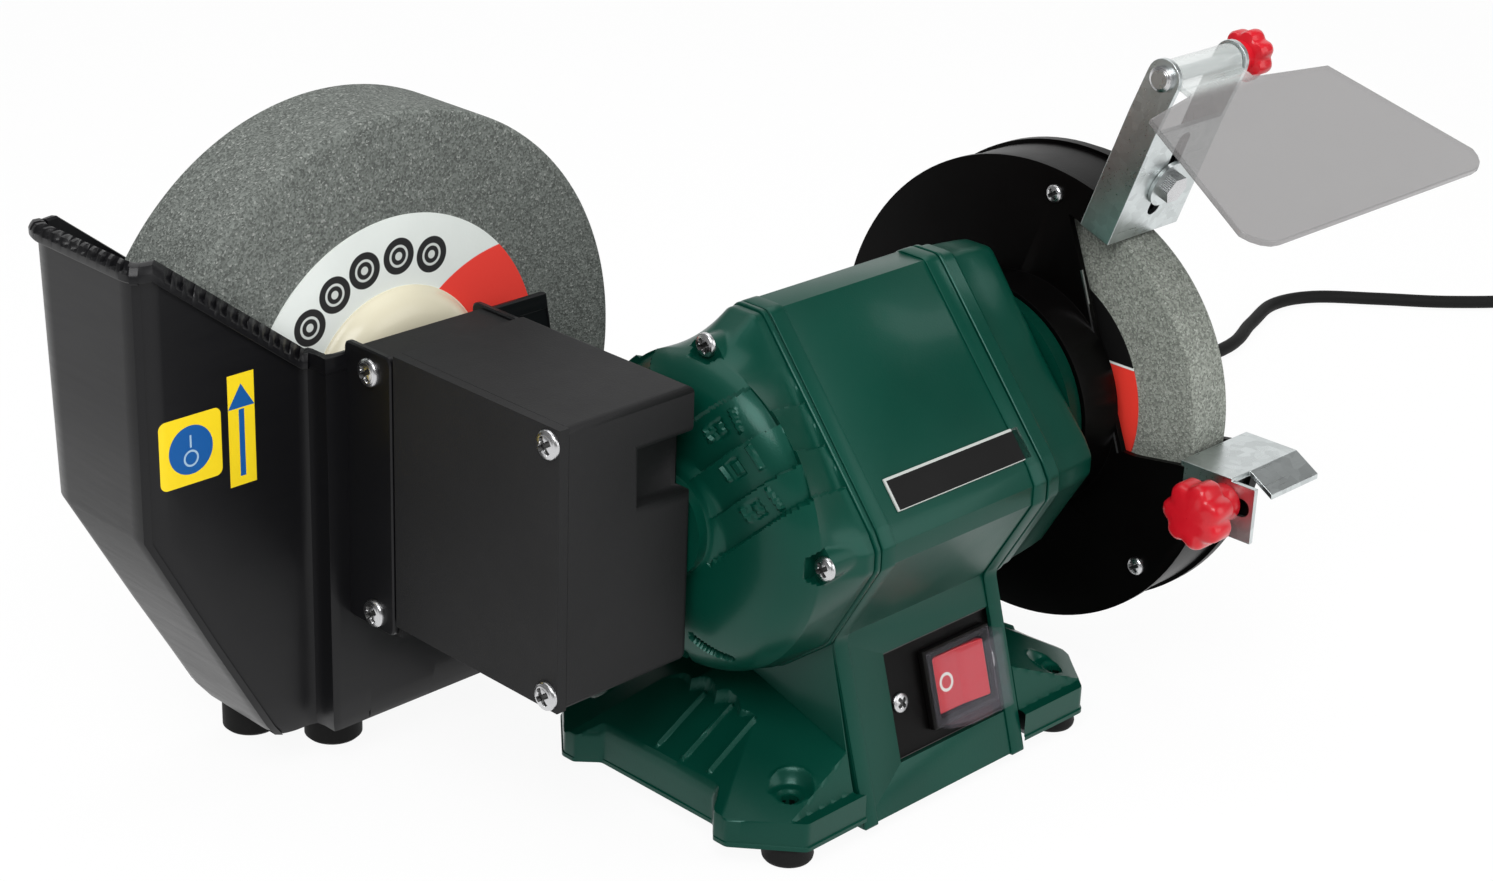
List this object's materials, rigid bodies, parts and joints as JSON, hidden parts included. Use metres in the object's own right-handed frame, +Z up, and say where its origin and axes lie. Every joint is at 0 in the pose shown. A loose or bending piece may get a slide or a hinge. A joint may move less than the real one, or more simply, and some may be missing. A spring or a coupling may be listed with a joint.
{
  "type": "bench grinder",
  "caption": "Wet and dry bench grinder: a motor drives a dry wheel in a guard directly and, through a worm gearbox, a slow wet wheel that turns in a water trough.",
  "frame": {"origin": "centre of the four bench bolts, on the bench surface", "axes": "+Z up, +X along the motor axis from the gearbox to the dry wheel, -Y towards the user"},
  "size_m": [1.0222, 0.3107, 0.2524],
  "materials": {
    "green_enamel": "satin gloss dark green enamel on die-cast shells",
    "dull_steel": "dull rolled steel",
    "bright_steel": "ground and turned steel",
    "zinc_steel": "bright zinc plate",
    "black_rubber": "matt black rubber and cord sheath",
    "copper_wire": "enamelled copper windings",
    "bronze": "bronze bushings and worm wheel",
    "pale_plastic": "pale moulded plastic",
    "black_plastic": "fine-grained black moulded plastic",
    "clear_cap": "clear flexible plastic",
    "black_enamel": "satin black enamel on pressed steel",
    "dry_stone": "open-grained grey vitrified stone",
    "wet_stone": "fine-grained grey vitrified stone",
    "red_paper": "printed paper blotter",
    "white_paper": "printed paper label",
    "cream_plastic": "cream moulded plastic",
    "clear_shield": "clear moulded plastic",
    "red_plastic": "glossy red moulded plastic"
  },
  "bodies": {
    "frame": {"motor_barrel": "green_enamel", "left_end_bell": "green_enamel", "right_end_bell": "green_enamel", "base_plate": "dull_steel", "base_feet": "black_rubber", "bell_screws": "zinc_steel", "stator_core": "dull_steel", "stator_windings": "copper_wire", "left_bearing": "bright_steel", "right_bearing": "bright_steel", "run_capacitor": "pale_plastic", "terminal_block": "pale_plastic", "switch_plate": "black_plastic", "switch_body": "black_plastic", "switch_cap": "clear_cap", "switch_screws": "zinc_steel", "badge_plate": "black_plastic", "gearbox_case": "black_plastic", "gearbox_cover": "black_plastic", "gearbox_screws": "zinc_steel", "arbor_bushings": "bronze", "worm_bearing": "bright_steel", "water_trough": "black_plastic", "trough_screws": "zinc_steel", "trough_feet": "black_rubber", "wheel_guard": "black_enamel", "guard_cover": "black_enamel", "guard_screws": "bright_steel", "rest_bolt": "bright_steel", "spark_bolt": "zinc_steel", "spark_washer": "zinc_steel", "cord_gland": "black_rubber", "cord_lead": "black_rubber", "cord_coil": "black_rubber", "cord_tail": "black_rubber", "plug_body": "black_rubber", "plug_pins": "bright_steel"},
    "rotor": {"rotor_shaft": "bright_steel", "rotor_core": "dull_steel", "cooling_fan": "black_plastic", "worm": "dull_steel", "dry_wheel": "dry_stone", "dry_wheel_label": "red_paper", "inner_flange": "dull_steel", "outer_flange": "dull_steel", "wheel_nut": "dull_steel"},
    "arbor": {"arbor_shaft": "bright_steel", "worm_wheel": "bronze", "wet_wheel": "wet_stone", "wet_wheel_label": "white_paper", "front_hub": "cream_plastic", "back_hub": "cream_plastic", "arbor_nut": "bright_steel"},
    "spark_guard": {"spark_bracket": "zinc_steel", "hinge_bolt": "zinc_steel"},
    "shield": {"eye_shield": "clear_shield"},
    "shield_clamp": {"shield_knob": "red_plastic"},
    "work_rest": {"tool_rest": "zinc_steel"},
    "rest_clamp": {"rest_knob": "red_plastic"},
    "rocker": {"switch_rocker": "red_plastic"}
  },
  "joints": [
    {"name": "motor_spin", "type": "hinge", "parent": "frame", "child": "rotor", "pos_m": [0, 0, 0.1105], "axis": [1, 0, 0], "continuous": true},
    {"name": "arbor_spin", "type": "hinge", "parent": "frame", "child": "arbor", "pos_m": [-0.1082, 0.1, 0.131], "axis": [0, 1, 0], "continuous": true},
    {"name": "spark_guard_slide", "type": "slide", "parent": "frame", "child": "spark_guard", "axis": [0, -0.342, 0.9397], "range_m": [0, 0.01]},
    {"name": "shield_tilt", "type": "hinge", "parent": "spark_guard", "child": "shield", "pos_m": [0.1178, -0.0544, 0.24305], "axis": [-1, 0, 0], "range_deg": [-40, 70]},
    {"name": "shield_knob_turn", "type": "hinge", "parent": "spark_guard", "child": "shield_clamp", "pos_m": [0.144, -0.0544, 0.24305], "axis": [1, 0, 0], "continuous": true},
    {"name": "tool_rest_slide", "type": "slide", "parent": "frame", "child": "work_rest", "axis": [0, -1, 0], "range_m": [0, 0.008]},
    {"name": "rest_knob_turn", "type": "hinge", "parent": "frame", "child": "rest_clamp", "pos_m": [0.082, -0.0975, 0.098], "axis": [1, 0, 0], "continuous": true},
    {"name": "switch_rock", "type": "hinge", "parent": "frame", "child": "rocker", "pos_m": [0.0145, -0.04898, 0.03872], "axis": [0, 0.2826, 0.9592], "range_deg": [0, 12]}
  ],
  "couplings": [
    {"joint": "arbor_spin", "follows": "motor_spin", "ratio": 0.045455}
  ]
}
